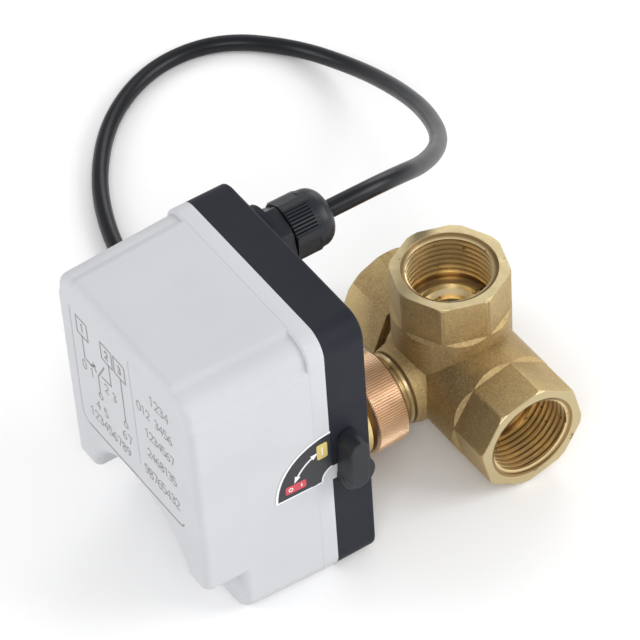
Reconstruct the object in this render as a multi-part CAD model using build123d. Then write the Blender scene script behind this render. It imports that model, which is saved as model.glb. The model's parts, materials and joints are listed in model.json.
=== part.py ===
"""Motorised three-way zone valve: brass ball valve, union nut, geared actuator and its cable.

Frame: the valve stem runs along X, from the actuator's front (-X) to the valve (+X).
The branch port opens up (+Z), the two run ports open along Y, and the part lies on z = 0.
Sizes are in mm. Every node is written to parts/NODE.step.
"""
import math
import os
from build123d import *

# ---------------------------------------------------------------- driving sizes
# Working frame: x = 0 at the joint of cover and base, y = 0 on the stem axis.
# SHIFT moves it so that the origin is under the middle of the part.
BOX_W = 86.0          # actuator, Y
BOX_H = 114.0         # actuator, Z
BOX_R = 8.3           # its corners, seen along X
BASE_T = 15.7         # base depth, X
BASE_WALL = 3.0
COVER_D = 51.6        # cover depth, X
COVER_WALL = 2.4
COVER_DRAFT = 0.031   # mm per mm of depth, each side
LIP = 6.5             # plain band of the cover beside the base
STEP_IN = 1.4         # how far the long corners step in
CHANNEL = 11.0        # width of the stepped corners
FOOT_Z = 21.5         # underside of the cover's front part
NOSE_X = -37.0        # where the front part ends on the lever side
DEEP_X = -29.0        # where it ends elsewhere
NOSE_Y = -13.0
ARCH_Z = 12.3         # arch centre under the front part
ARCH_R = 31.4

AXIS_Z = 21.8         # stem axis above the surface
VALVE_X = 78.4        # valve centre from the joint
PORT_UP = 44.8        # branch port face from the stem axis
PORT_NEAR = 48.2      # run port face, lever side
PORT_FAR = 40.0       # run port face, other side
NECK_R = 21.5         # cast necks
WAIST_R = 17.6        # between the crossing and the far barrel
CAVITY_R = 14.95
OCT_AF = 40.0         # octagon across flats
OCT_LEN = 17.0        # length of the flats
OCT_RUNOUT = 1.3      # slope where the flats end
FAR_LEN = 22.0        # far barrel
OCT_TURN_UP = 3.8     # how far the octagons are turned from the axes, degrees
OCT_TURN_NEAR = -9.2
THREAD_MAJOR = 33.249 / 2
THREAD_MINOR = 30.291 / 2
THREAD_PITCH = 2.309
THREAD_IN = 1.2       # the mouth's countersink
THREAD_OUT = 18.1     # depth where the relief starts
CREST = 1.05          # crest flat
RELIEF_R = THREAD_MAJOR + 0.05
BALL_R = 14.5
BALL_BORE = 7.0
SEAT_IN = 7.5
SEAT_OUT = 10.8
SEAT_NEAR = 10.9
SEAT_FAR = 17.4
RETAINER_OUT = 21.4   # outer end of the far seat's retainer
STEM_R = 6.5

NUT_X0 = 35.1         # union nut, from the joint
NUT_X1 = 49.0
NUT_R = 17.5
NUT_RIDGES = 112
SLEEVE_R = 12.0
BONNET_R = 13.3

GLAND_Y = 20.0
GLAND_Z = 99.1
GLAND_HEX = 19.0
GLAND_X0 = 18.7       # hex seat
GLAND_X1 = 24.6       # nut starts
GLAND_X2 = 41.8       # cord leaves the nut
CORD_R = 3.3

LEVER_X = 8.0
LEVER_Z = 48.6
LEVER_OUT = 8.9       # how far the lever stands off the side
TAB_Z = (47.6, 54.0)  # the cover's tab beside the lever
LEGEND_R = 21.8
LEGEND_Z = 49.1
NOTCH_R = 4.7         # bite out of the legend, beside the tab
NOTCH_X = 1.0
FOOT_R = 3.5          # rounding of the cover's front part
SHIFT_X = -(VALVE_X + 21.6 - COVER_D) / 2
SHIFT_Y = 5.2

RUN = 0.05            # running clearance on a radius


# ---------------------------------------------------------------- small helpers
def xcyl(r, x0, x1, y=0.0, z=AXIS_Z):
    return Pos((x0 + x1) / 2, y, z) * Rot(0, 90, 0) * Cylinder(r, x1 - x0)


def ycyl(r, y0, y1, x=VALVE_X, z=AXIS_Z):
    return Pos(x, (y0 + y1) / 2, z) * Rot(90, 0, 0) * Cylinder(r, y1 - y0)


def zcyl(r, z0, z1, x=VALVE_X, y=0.0):
    return Pos(x, y, (z0 + z1) / 2) * Cylinder(r, z1 - z0)


def block(x0, x1, y0, y1, z0, z1):
    return Pos((x0 + x1) / 2, (y0 + y1) / 2, (z0 + z1) / 2) * Box(x1 - x0, y1 - y0, z1 - z0)


def slab(x0, x1, w, h, r, y=0.0, z=BOX_H / 2):
    """Rounded plate in the YZ plane."""
    face = Plane.YZ.offset(x0) * Pos(y, z, 0) * RectangleRounded(w, h, r)
    return extrude(face, x1 - x0)


def turned(points, x=0.0, y=0.0, z=AXIS_Z):
    """Solid of revolution about X from (x, radius) points."""
    face = Plane.XZ * make_face(Polyline(*points, close=True))
    return Pos(x, y, z) * revolve(face, Axis.X)


def toothed(radii, count, phase, x0, x1, y, z):
    """Prism along X whose outline steps through (fraction of pitch, radius) pairs."""
    points = []
    for i in range(count):
        for part, r in radii:
            a = phase + 2 * math.pi * (i + part) / count
            points.append((r * math.cos(a), r * math.sin(a)))
    face = Plane.YZ.offset(x0) * Pos(y, z, 0) * make_face(Polyline(*points, close=True))
    return extrude(face, x1 - x0)


def involute_tooth(z, m):
    """Half tooth as (angle, radius) pairs from root to tip, angle from the tooth's centre."""
    alpha = math.radians(25)
    rp = m * z / 2
    rb = rp * math.cos(alpha)
    ra = rp + 0.85 * m
    rf = rp - 1.15 * m
    half = math.pi / (2 * z) - 0.045 / rp
    inv = math.tan(alpha) - alpha
    out = []
    low = max(rb, rf)
    if rf < rb:
        out.append((half + inv, rf))
    for k in range(6):
        r = low + (ra - low) * k / 5
        t = math.sqrt(max((r / rb) ** 2 - 1, 0))
        out.append((half + inv - (t - math.atan(t)), r))
    return out


def gear(z, m, phase, x0, x1, y, zc):
    """Spur gear along X; phase is the angle of one tooth in the YZ plane."""
    half = involute_tooth(z, m)
    points = []
    for i in range(z):
        c = phase + 2 * math.pi * i / z
        for a, r in half:
            points.append((r * math.cos(c - a), r * math.sin(c - a)))
        for a, r in reversed(half):
            points.append((r * math.cos(c + a), r * math.sin(c + a)))
    face = Plane.YZ.offset(x0) * Pos(y, zc, 0) * make_face(Polyline(*points, close=True))
    return extrude(face, x1 - x0)


def mesh_phase(phase1, z1, c1, z2, c2):
    """Phase of gear 2 so that it meshes with gear 1."""
    phi = math.atan2(c2[1] - c1[1], c2[0] - c1[0])
    u = (phi - phase1) / (2 * math.pi / z1)
    return phi + math.pi + (u - 0.5) * 2 * math.pi / z2


# ---------------------------------------------------------------- gear train layout
Z_MOTOR, Z_PIN = 12, 12
Z_WHEEL1, Z_WHEEL2, Z_OUT = 46, 48, 44
M1, M2, M3 = 0.5, 0.6, 0.8
C_OUT = (0.0, AXIS_Z)
A3 = M3 * (Z_PIN + Z_OUT) / 2
A2 = M2 * (Z_PIN + Z_WHEEL2) / 2
A1 = M1 * (Z_MOTOR + Z_WHEEL1) / 2
C_G2 = (8.0, C_OUT[1] + math.sqrt(A3 ** 2 - 8.0 ** 2))
C_G1 = (-4.0, C_G2[1] + math.sqrt(A2 ** 2 - 12.0 ** 2))
C_MOT = (0.0, C_G1[1] + math.sqrt(A1 ** 2 - 4.0 ** 2))
P_OUT = 0.0
P_G2P = mesh_phase(P_OUT, Z_OUT, C_OUT, Z_PIN, C_G2)
P_G2W = 0.03
P_G1P = mesh_phase(P_G2W, Z_WHEEL2, C_G2, Z_PIN, C_G1)
P_G1W = 0.05
P_MOT = mesh_phase(P_G1W, Z_WHEEL1, C_G1, Z_MOTOR, C_MOT)
MOTOR_C = (0.0, C_MOT[1] + 11.5)
PLATE_X = (-1.6, 0.0)
PILLARS = [(-26.0, 8.5), (26.0, 8.5), (-28.0, 100.0), (35.5, 72.0)]
BOARD_POSTS = (17.0, 47.0)
TERMINAL_X = -12.0
TERMINAL_Y = (24.9, 30.0, 35.1)
COVER_SCREWS = [(-34.7, 8.3), (34.7, 8.3), (-34.7, 105.7), (34.7, 105.7)]


# ---------------------------------------------------------------- housing
def corner_points(a, b, step, reach, r):
    """One quadrant of the stepped section, from the top to the side, about its centre."""
    return [(a - reach - 2.0, b), (a - reach + 2.2, b - step),
            (a - step - r, b - step), (a - step, b - step - r),
            (a - step, b - reach + 2.2), (a, b - reach - 2.0)]


def step_edges(x, a, b, inset, sy):
    """Stepped upper corner: its edges from the top to the side."""
    r = BOX_R - 1.2 - 0.5 * inset
    quad = corner_points(a, b, STEP_IN, CHANNEL - inset, r)
    pts = [Vector(x, sy * u, BOX_H / 2 + v) for u, v in quad]
    bulge = math.sqrt(0.5) * r
    mid = Vector(x, sy * (quad[2][0] + bulge), BOX_H / 2 + quad[3][1] + bulge)
    along, down = Vector(0, sy, 0), Vector(0, 0, -1)
    return [Spline(pts[0], pts[1], tangents=(along, along)), Line(pts[1], pts[2]),
            ThreePointArc(pts[2], mid, pts[3]), Line(pts[3], pts[4]),
            Spline(pts[4], pts[5], tangents=(down, down))]


def stepped_wire(x, inset):
    """Closed outline in the plane at x: stepped upper corners, plain lower ones."""
    d = COVER_DRAFT * max(0.0, -x - LIP) + inset
    a = BOX_W / 2 - d
    b = BOX_H / 2 - d
    low = BOX_R - 0.5 * inset
    k = low * (1 - math.sqrt(0.5))
    edges = []
    for sy in (1, -1):
        corner = [Vector(x, sy * u, BOX_H / 2 - v) for u, v in ((a - low, b), (a - k, b - k), (a, b - low))]
        upper = step_edges(x, a, b, inset, sy)
        edges += upper + [Line(upper[-1] @ 1, corner[2]), ThreePointArc(*corner)]
    top = Line(edges[0] @ 0, edges[7] @ 0)
    bottom = Line(edges[6] @ 0, edges[13] @ 0)
    return Wire(edges + [top, bottom])


def under_cut(x0, x1, y0, y1, grow):
    """What is missing below the cover's front part: the arch, and the space under its feet."""
    face = Plane.YZ.offset(x0) * Pos(0, ARCH_Z, 0) * Circle(ARCH_R + grow)
    arch = extrude(face, x1 - x0)
    low = block(x0, x1, -60, 60, -20, FOOT_Z + grow)
    cut = arch + low
    return cut & block(x0, x1, y0 - grow, y1 + grow, -30, 90)


def nearest_edges(shape, points):
    return [min(shape.edges(), key=lambda e: (e.center() - Vector(*p)).length) for p in points]


def cover_outside():
    """The drafted front part with its undercut, feet and nose rounded."""
    outer = Solid.make_loft([stepped_wire(-LIP + 0.5, 0), stepped_wire(-COVER_D, 0)], ruled=True)
    outer -= under_cut(-COVER_D - 1, NOSE_X, -60, 60, 0)
    outer -= under_cut(NOSE_X - 0.01, DEEP_X, NOSE_Y, 60, 0)
    outer = outer.solids()[0]
    rim = [e for e in outer.edges() if abs(e.center().X + COVER_D) < 1e-3]
    feet = [e for e in outer.edges() if abs(e.center().Z - FOOT_Z) < 0.05 and abs(e.center().Y) > 38
            and e.center().X < NOSE_X - 1]
    half = BOX_W / 2 - 1.0
    nose = nearest_edges(outer, [(NOSE_X, -half, 15.4), (DEEP_X, half, 15.3)])
    return outer.fillet(FOOT_R, rim + feet + nose)


def cover():
    outer = cover_outside()
    band = slab(-LIP, 0, BOX_W, BOX_H, BOX_R)
    rim = band.edges().filter_by(lambda e: abs(e.center().X + LIP) < 1e-3)
    band = fillet(rim, 1.0)
    body = Part() + outer + band
    inner = Part() + Solid.make_loft([stepped_wire(0.01, COVER_WALL),
                                      stepped_wire(-COVER_D + COVER_WALL, COVER_WALL)], ruled=True)
    w = COVER_WALL
    inner -= under_cut(-COVER_D - 1, NOSE_X + w, -60, 60, w)
    inner -= under_cut(NOSE_X + w - 0.01, DEEP_X + w, NOSE_Y, 60, w)
    body -= inner
    for y, z in COVER_SCREWS:
        post = xcyl(4.2, NOSE_X - 1 if z < FOOT_Z else -24.0, 0, y, z)
        body += post & outer
    for y, z in COVER_SCREWS:
        body -= xcyl(1.7, -20.0, 0.01, y, z)
    body += block(-1.5, 2.4, -BOX_W / 2, -BOX_W / 2 + 0.9, *TAB_Z)
    return body - legend_shape(2.0)


def base():
    body = slab(0, BASE_T, BOX_W, BOX_H, BOX_R)
    rim = body.edges().filter_by(lambda e: abs(e.center().X - BASE_T) < 1e-3)
    body = fillet(rim, 1.2)
    w = BASE_WALL
    body -= slab(-1, BASE_T - 3.0, BOX_W - 2 * w, BOX_H - 2 * w, BOX_R - w)
    groove = slab(-1, 1.0, BOX_W - 2.0, BOX_H - 2.0, BOX_R - 1.0)
    groove -= slab(-2, 2.0, BOX_W - 4.2, BOX_H - 4.2, BOX_R - 2.1)
    body -= groove
    body += xcyl(19.5, BASE_T - 0.5, BASE_T + 5.0)
    body += xcyl(13.0, BASE_T - 0.5, GLAND_X0, GLAND_Y, GLAND_Z)
    body -= xcyl(SLEEVE_R + 0.02, 0, 30)
    body -= xcyl(7.7, 0, 30, GLAND_Y, GLAND_Z)
    for y, z in COVER_SCREWS:
        body += xcyl(5.4, 0, BASE_T - 1, y, z) & slab(0, BASE_T, BOX_W - 1, BOX_H - 1, BOX_R)
    for y, z in COVER_SCREWS:
        body -= xcyl(2.3, -1, 20, y, z)
        body -= xcyl(4.2, BASE_T - 3.2, 20, y, z)
    for y, z in PILLARS:
        body += xcyl(3.6, 0, BASE_T - 1, y, z)
        body -= xcyl(1.25, -1, 10, y, z)
    for c in (C_G1, C_G2):
        body += xcyl(3.4, 10.6, BASE_T - 1, *c)
        body -= xcyl(1.5, 9, 13.5, *c)
    body += ycyl(6.2, -BOX_W / 2 + 1, -BOX_W / 2 + 8.0, LEVER_X, LEVER_Z) & block(0, 14, -60, 0, 0, 100)
    body -= ycyl(3.0 + RUN, -60, -20, LEVER_X, LEVER_Z)
    body -= block(-1, 2.6, -BOX_W / 2 - 1, -BOX_W / 2 + 0.98, TAB_Z[0] - 0.2, TAB_Z[1] + 0.2)
    for a in range(4):
        t = math.radians(45 + 90 * a)
        body -= xcyl(1.3, 10, 25, 16.4 * math.cos(t), AXIS_Z + 16.4 * math.sin(t))
    return body


def gasket():
    ring = slab(0, 1.0, BOX_W - 2.1, BOX_H - 2.1, BOX_R - 1.05)
    ring -= slab(-1, 2.0, BOX_W - 4.1, BOX_H - 4.1, BOX_R - 2.05)
    return ring


def cover_screws():
    out = []
    for y, z in COVER_SCREWS:
        head = xcyl(3.7, BASE_T - 3.2, BASE_T - 0.6, y, z)
        head -= block(BASE_T - 1.6, BASE_T, y - 2.6, y + 2.6, z - 0.5, z + 0.5)
        head -= block(BASE_T - 1.6, BASE_T, y - 0.5, y + 0.5, z - 2.6, z + 2.6)
        out.append(head + xcyl(1.7, -14.0, BASE_T - 3.1, y, z))
    return out


# ---------------------------------------------------------------- gearbox
def gear_plate():
    plate = slab(PLATE_X[0], PLATE_X[1], 76, 104, 4, 0, BOX_H / 2)
    plate -= block(-3, 1, 8.5, 50, 92, 120)
    for y, z in COVER_SCREWS:
        plate -= xcyl(5.0, -3, 1, y, z)
    plate -= xcyl(7.0, -3, 1)
    plate -= xcyl(4.2, -3, 1, *C_MOT)
    for c in (C_G1, C_G2):
        plate -= xcyl(1.5, -3, 1, *c)
    for y, z in PILLARS:
        plate -= xcyl(1.6, -3, 1, y, z)
    return plate


def plate_screws():
    out = []
    for y, z in PILLARS:
        s = xcyl(2.9, -3.4, -1.6, y, z) + xcyl(1.25, -1.7, 8.0, y, z)
        s -= block(-4, -2.6, y - 2.2, y + 2.2, z - 0.4, z + 0.4)
        out.append(s)
    return out


def axle(c):
    return xcyl(1.5, -1.6, 13.3, *c)


def motor():
    y, z = MOTOR_C
    can = xcyl(24.5, -22.5, -1.65, y, z)
    can = fillet(can.edges().filter_by(GeomType.CIRCLE).sort_by(Axis.X)[0:1], 2.0)
    ear = slab(-2.8, -1.65, 62, 8, 3.9, y, z)
    body = can + ear
    for s in (-1, 1):
        body -= xcyl(1.6, -4, 0, y + s * 27.5, z)
    body += xcyl(4.0, -1.7, 0.4, *C_MOT)
    body -= xcyl(1.25 + RUN, -5.0, 1, *C_MOT)
    body += block(-18, -9, y - 7, y + 7, z + 22, z + 25.6)
    return body


def motor_screws():
    out = []
    for s in (-1, 1):
        y, z = MOTOR_C[0] + s * 27.5, MOTOR_C[1]
        out.append(xcyl(2.7, -4.4, -2.8, y, z) + xcyl(1.5, -2.9, -1.7, y, z))
    return out


def motor_pinion():
    g = gear(Z_MOTOR, M1, P_MOT, 2.6, 6.4, *C_MOT)
    return g + xcyl(1.25, -4.5, 2.7, *C_MOT)


def gear_one():
    g = gear(Z_WHEEL1, M1, P_G1W, 3.4, 5.7, *C_G1)
    g += gear(Z_PIN, M2, P_G1P, 5.6, 10.3, *C_G1)
    g += xcyl(3.0, 0.4, 3.5, *C_G1)
    g -= xcyl(1.5 + RUN, -1, 12, *C_G1)
    for k in range(5):
        a = 2 * math.pi * k / 5
        g -= xcyl(1.9, 3, 5.6, C_G1[0] + 7.3 * math.cos(a), C_G1[1] + 7.3 * math.sin(a))
    return g


def gear_two():
    g = gear(Z_WHEEL2, M2, P_G2W, 7.9, 10.2, *C_G2)
    g += gear(Z_PIN, M3, P_G2P, 1.6, 8.0, *C_G2)
    g += xcyl(3.0, 0.4, 1.7, *C_G2)
    g -= xcyl(1.5 + RUN, -1, 12, *C_G2)
    for k in range(5):
        a = 2 * math.pi * k / 5
        g -= xcyl(2.3, 8.0, 11, C_G2[0] + 9.6 * math.cos(a), C_G2[1] + 9.6 * math.sin(a))
    return g


def output_gear():
    g = gear(Z_OUT, M3, P_OUT, 2.0, 7.0, *C_OUT)
    g += xcyl(8.8, 0.4, 2.1)
    g -= xcyl(6.0, 0, 12)
    g -= block(0, 8, 5.0, 7.0, AXIS_Z - 1.5, AXIS_Z + 1.5)
    for k in range(6):
        a = math.pi * k / 3
        g -= xcyl(2.6, 2.1, 8, 12.6 * math.cos(a), AXIS_Z + 12.6 * math.sin(a))
    return g


def output_shaft():
    s = xcyl(6.0, -17.5, 41.0)
    s += block(0.5, 6.9, 5.0, 6.9, AXIS_Z - 1.45, AXIS_Z + 1.45)
    s -= block(30.5, 42, -4.1, 4.1, AXIS_Z - 4.1, AXIS_Z + 4.1)
    return s - (xcyl(7, -16.4, -15.5) - xcyl(5.4, -17, -15))


def cam(x0, x1, lobe):
    c = xcyl(9.0, x0, x1)
    a = math.radians(lobe)
    c += xcyl(3.2, x0, x1, 7.8 * math.cos(a), AXIS_Z + 7.8 * math.sin(a))
    c -= xcyl(6.0, x0 - 1, x1 + 1)
    return c


def shaft_clip():
    c = xcyl(8.0, -16.35, -15.55) - xcyl(5.4, -17, -15)
    return c - block(-17, -15, -1.8, 1.8, AXIS_Z - 12, AXIS_Z - 3)


def switch_body(x0):
    x1 = x0 + 6.2
    b = block(x0, x1, -25.4, -15.4, AXIS_Z - 10, AXIS_Z + 10)
    for s in (-1, 1):
        b -= xcyl(1.2, x0 - 1, x1 + 1, -22.9, AXIS_Z + 4.75 * s)
    b += block(x0 + 2.4, x0 + 3.6, -15.5, -14.05, AXIS_Z + 3.0, AXIS_Z + 5.0)
    for s in (-7.5, 0, 7.5):
        b += block(x0 + 1.4, x0 + 4.6, -29.4, -25.3, AXIS_Z + s - 0.3, AXIS_Z + s + 0.3)
    return b


def switch_lever(x0):
    arm = block(x0 + 1.2, x0 + 4.8, -13.8, -13.3, AXIS_Z - 8.5, AXIS_Z + 5.5)
    arm += block(x0 + 1.2, x0 + 4.8, -15.38, -13.3, AXIS_Z - 8.5, AXIS_Z - 8.0)
    return arm + xcyl(1.5, x0 + 1.2, x0 + 4.8, -12.5, AXIS_Z + 3.2)


def switch_screws():
    out = []
    for s in (-1, 1):
        z = AXIS_Z + 4.75 * s
        out.append(xcyl(2.1, -17.2, -15.8, -22.9, z) + xcyl(1.2, -15.9, -1.6, -22.9, z))
    return out


def circuit_board():
    b = block(-9.6, -8.0, 15.0, 37.0, 14.0, 50.5)
    for z in BOARD_POSTS:
        b -= xcyl(1.3, -12, -5, 34.0, z)
    return b


def board_posts():
    return [xcyl(2.4, -8.0, -1.6, 34.0, z) + xcyl(1.3, -9.9, -7.9, 34.0, z) for z in BOARD_POSTS]


def capacitor():
    c = xcyl(6.0, -26.0, -9.6, 24.0, 43.0)
    return fillet(c.edges().filter_by(GeomType.CIRCLE).sort_by(Axis.X)[0:1], 0.9)


def relay():
    return fillet(block(-22.0, -9.6, 17.0, 30.0, 17.0, 32.0).edges().filter_by(Axis.X), 0.6)


def terminal_block():
    b = block(-16.5, -8.0, 22.0, 38.0, 52.0, 62.0)
    for y in TERMINAL_Y:
        b -= xcyl(1.75, -17, -13.2, y, 58.0)
        b -= zcyl(1.4, 56.0, 63.0, TERMINAL_X, y)
    return b


def terminal_screws():
    out = []
    for y in TERMINAL_Y:
        s = xcyl(1.75, -15.8, -13.45, y, 58.0)
        out.append(s - block(-16, -15.2, y - 1.3, y + 1.3, 57.75, 58.25))
    return out


def terminal_posts():
    return [block(-8.0, -1.6, y, y + 3.0, 54.0, 60.0) for y in (23.5, 33.5)]


# ---------------------------------------------------------------- manual lever
def lever():
    y = -BOX_W / 2
    hub = ycyl(6.5, y - 4.4, y - 0.4, LEVER_X, LEVER_Z)
    hub = fillet(hub.edges().filter_by(GeomType.CIRCLE).sort_by(Axis.Y)[0:1], 0.6)
    face = Plane.XZ * Pos(LEVER_X - 2.1, LEVER_Z + 9.6, 0) * SlotOverall(20.7, 7.3, rotation=87)
    bar = Pos(0, y - 0.4, 0) * extrude(face, LEVER_OUT - 0.4)
    bar = fillet(bar.edges().filter_by(lambda e: abs(e.center().Y - (y - LEVER_OUT)) < 1e-3), 0.6)
    knob = hub + bar
    knob += ycyl(3.0, y - 1, y + 21, LEVER_X, LEVER_Z)
    knob -= ycyl(4, y + 8.05, y + 8.95, LEVER_X, LEVER_Z) - ycyl(2.3, y, y + 20, LEVER_X, LEVER_Z)
    knob -= block(0, 20, y + 13.0, y + 30, LEVER_Z + 1.8, LEVER_Z + 6)
    return knob


def lever_clip():
    y = -BOX_W / 2
    c = ycyl(4.2, y + 8.1, y + 8.9, LEVER_X, LEVER_Z) - ycyl(2.3, y, y + 20, LEVER_X, LEVER_Z)
    return c - block(LEVER_X - 1, LEVER_X + 1, y, y + 20, LEVER_Z - 8, LEVER_Z - 1)


def lever_cam():
    y = -BOX_W / 2
    c = ycyl(4.4, y + 13.2, y + 19.0, LEVER_X, LEVER_Z)
    tip = block(LEVER_X - 1.5, LEVER_X + 1.5, y + 13.2, y + 19.0, LEVER_Z, LEVER_Z + 7.4)
    hole = ycyl(3.0, y, y + 30, LEVER_X, LEVER_Z)
    hole -= block(0, 20, y, y + 30, LEVER_Z + 1.8, LEVER_Z + 6)
    return c + tip - hole


def lever_seal():
    y = -BOX_W / 2
    return ycyl(4.9, y - 0.4, y - 0.03, LEVER_X, LEVER_Z) - ycyl(3.0, y - 1, y + 1, LEVER_X, LEVER_Z)


def legend_shape(proud):
    """Quarter sector on the cover's side, following its draft; proud is how far it stands out."""
    y = -BOX_W / 2
    r = LEGEND_R
    far = COVER_DRAFT * (r - LIP)
    points = [(0, y - proud), (-LIP, y - proud), (-r, y + far - proud),
              (-r, y + far + 0.5), (-LIP, y + 0.5), (0, y + 0.5)]
    strip = Pos(0, 0, LEGEND_Z) * extrude(make_face(Polyline(*points, close=True)), r)
    disc = ycyl(r, y - 5, y + 5, 0, LEGEND_Z) - ycyl(NOTCH_R, y - 5, y + 5, NOTCH_X, LEGEND_Z + 0.4)
    return strip & disc


def legend_plate():
    return legend_shape(0.12)


# ---------------------------------------------------------------- neck and union nut
def sleeve():
    s = turned([(12.7, 6.0 + RUN), (41.0, 6.0 + RUN), (41.0, 13.4), (38.6, 13.4),
                (38.6, SLEEVE_R), (23.2, SLEEVE_R), (23.2, 18.9), (20.7, 18.9),
                (20.7, SLEEVE_R), (12.7, SLEEVE_R)])
    for a in range(4):
        t = math.radians(45 + 90 * a)
        s -= xcyl(1.6, 20, 24, 16.4 * math.cos(t), AXIS_Z + 16.4 * math.sin(t))
    return s


def sleeve_screws():
    out = []
    for a in range(4):
        t = math.radians(45 + 90 * a)
        y, z = 16.4 * math.cos(t), AXIS_Z + 16.4 * math.sin(t)
        s = xcyl(2.3, 23.2, 24.8, y, z) + xcyl(1.3, 12.0, 23.3, y, z)
        out.append(s - block(24.0, 26, y - 1.8, y + 1.8, z - 0.35, z + 0.35))
    return out


def stop_ring():
    return turned([(31.0, SLEEVE_R), (33.6, SLEEVE_R), (33.6, 16.0), (31.0, 16.0)])


def union_nut():
    n = toothed([(0.0, NUT_R), (0.35, NUT_R), (0.6, NUT_R - 0.42), (0.75, NUT_R - 0.42)],
                NUT_RIDGES, 0.0, NUT_X0, NUT_X1, 0, AXIS_Z)
    n &= turned([(NUT_X0, 0), (NUT_X1, 0), (NUT_X1, NUT_R - 1.5), (NUT_X1 - 1.5, NUT_R + 0.1),
                 (NUT_X0 + 1.1, NUT_R + 0.1), (NUT_X0, NUT_R - 1.1)])
    n -= xcyl(SLEEVE_R + 0.08, 30, 60)
    n -= xcyl(13.5, 38.5, 60)
    return n


# ---------------------------------------------------------------- valve
TO_NEAR = (90, 0, 0)
TO_FAR = (-90, 0, 0)


def at_valve(shape, rot=(0, 0, 0)):
    return Pos(VALVE_X, 0, AXIS_Z) * Rot(*rot) * shape


def about_z(points):
    """Solid of revolution about Z from (radius, z) points."""
    return revolve(Plane.XZ * make_face(Polyline(*points, close=True)), Axis.Z)


def thread_groove(z0, z1):
    """Helical groove about Z between two heights, kept outside the minor diameter."""
    path = Helix(pitch=THREAD_PITCH, height=z1 - z0, radius=THREAD_MINOR)
    half = (THREAD_PITCH - CREST) / 2
    root = 0.13
    section = Polyline((THREAD_MINOR - 0.35, -half - 0.15), (THREAD_MAJOR, -root), (THREAD_MAJOR, root),
                       (THREAD_MINOR - 0.35, half + 0.15), close=True)
    groove = Pos(0, 0, z0) * sweep(Plane.XZ * make_face(section), path=path, is_frenet=True)
    return groove - Pos(0, 0, (z0 + z1) / 2) * Cylinder(THREAD_MINOR, 2 * (z1 - z0))


def cut_port(body, face, tail, rot):
    """Cut a threaded port; tail ends its bore, as (radius, depth past the thread) points."""
    pts = [(0.0, -1.0), (17.25, -1.0), (17.25, 0.0), (THREAD_MINOR, THREAD_IN),
           (THREAD_MINOR, THREAD_OUT), (RELIEF_R, THREAD_OUT)]
    pts += [(r, THREAD_OUT + d) for r, d in tail] + [(0.0, THREAD_OUT + tail[-1][1])]
    body -= at_valve(about_z([(r, face - d) for r, d in pts]), rot)
    return body - at_valve(thread_groove(face - THREAD_OUT - 0.45, face + 1.4), rot)


def octagon_waste(face, length, turn):
    """What the octagonal end about +Z has lost, from a turned one; the flats run out in a slope."""
    low = face - length
    flat = RegularPolygon(OCT_AF / 2, 8, major_radius=False, rotation=turn)
    wide = RegularPolygon(OCT_AF / 2 + OCT_RUNOUT + 1.0, 8, major_radius=False, rotation=turn)
    waste = extrude(Plane.XY.offset(low) * (Circle(30) - flat), length + 1)
    slope = loft([Plane.XY.offset(low) * flat, Plane.XY.offset(low - OCT_RUNOUT - 1.0) * wide], ruled=True)
    ring = Pos(0, 0, low - (OCT_RUNOUT + 1.0) / 2) * Cylinder(30, OCT_RUNOUT + 1.0)
    return waste + (ring - slope)


def valve_outside():
    mouth = OCT_AF / 2 + 0.4
    run = about_z([(0, -18.0), (WAIST_R, -18.0), (WAIST_R, -15.5), (NECK_R, -13.0),
                   (NECK_R, PORT_NEAR - 0.8), (NECK_R - 0.6, PORT_NEAR), (0, PORT_NEAR)])
    run -= octagon_waste(PORT_NEAR, OCT_LEN, OCT_TURN_NEAR)
    branch = about_z([(0, 0), (NECK_R - 0.15, 0), (NECK_R - 0.15, PORT_UP - 0.8),
                      (NECK_R - 0.7, PORT_UP), (0, PORT_UP)])
    branch -= octagon_waste(PORT_UP, OCT_LEN, OCT_TURN_UP)
    barrel = extrude(Plane.XY.offset(PORT_FAR - FAR_LEN)
                     * RegularPolygon(OCT_AF / 2, 8, major_radius=False, rotation=0), FAR_LEN)
    barrel &= about_z([(0, 0), (OCT_AF, 0), (OCT_AF, PORT_FAR - 2.4), (mouth + 1.8, PORT_FAR - 2.4),
                       (mouth, PORT_FAR), (0, PORT_FAR)])
    thread = [(41.1, 0), (41.1, BONNET_R - 0.7)]
    for k in range(6):
        x = 41.6 + 1.5 * k
        thread += [(x, BONNET_R), (x + 0.4, BONNET_R), (x + 0.95, BONNET_R - 0.75)]
    boss = turned(thread + [(51.3, BONNET_R - 0.75), (51.3, 13.5), (51.6, 13.8), (52.7, 13.8),
                            (53.0, 13.5), (53.0, 12.5), (53.7, 12.5), (53.7, 14.0), (54.0, 14.3),
                            (57.5, 15.2), (66.0, 15.6), (66.0, 0)])
    tee = at_valve(run, TO_NEAR) + at_valve(branch)
    return tee + at_valve(barrel, TO_FAR) + boss


def valve_body():
    body = valve_outside()
    body -= ycyl(CAVITY_R, -SEAT_NEAR, 21.0)
    body -= ycyl(SEAT_OUT + 0.05, -SEAT_FAR - 0.1, -5)
    body -= zcyl(SEAT_OUT + 0.05, AXIS_Z + 5, AXIS_Z + SEAT_FAR + 0.1)
    relief = [(RELIEF_R, 2.6), (12.3, 2.6), (11.4, 3.8), (9.6, 5.0), (SEAT_IN, 5.0)]
    body = cut_port(body, PORT_UP, relief + [(SEAT_IN, PORT_UP - THREAD_OUT - 8)], (0, 0, 0))
    body = cut_port(body, PORT_NEAR, relief + [(SEAT_IN, PORT_NEAR - THREAD_OUT - 8)], TO_NEAR)
    body = cut_port(body, PORT_FAR, [(RELIEF_R, 1.3), (CAVITY_R, 1.3), (CAVITY_R, 3.0)], TO_FAR)
    body -= xcyl(STEM_R + RUN, 40, VALVE_X - 12)
    body -= xcyl(8.6, VALVE_X - 17.5, VALVE_X - 12)
    return body


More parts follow.
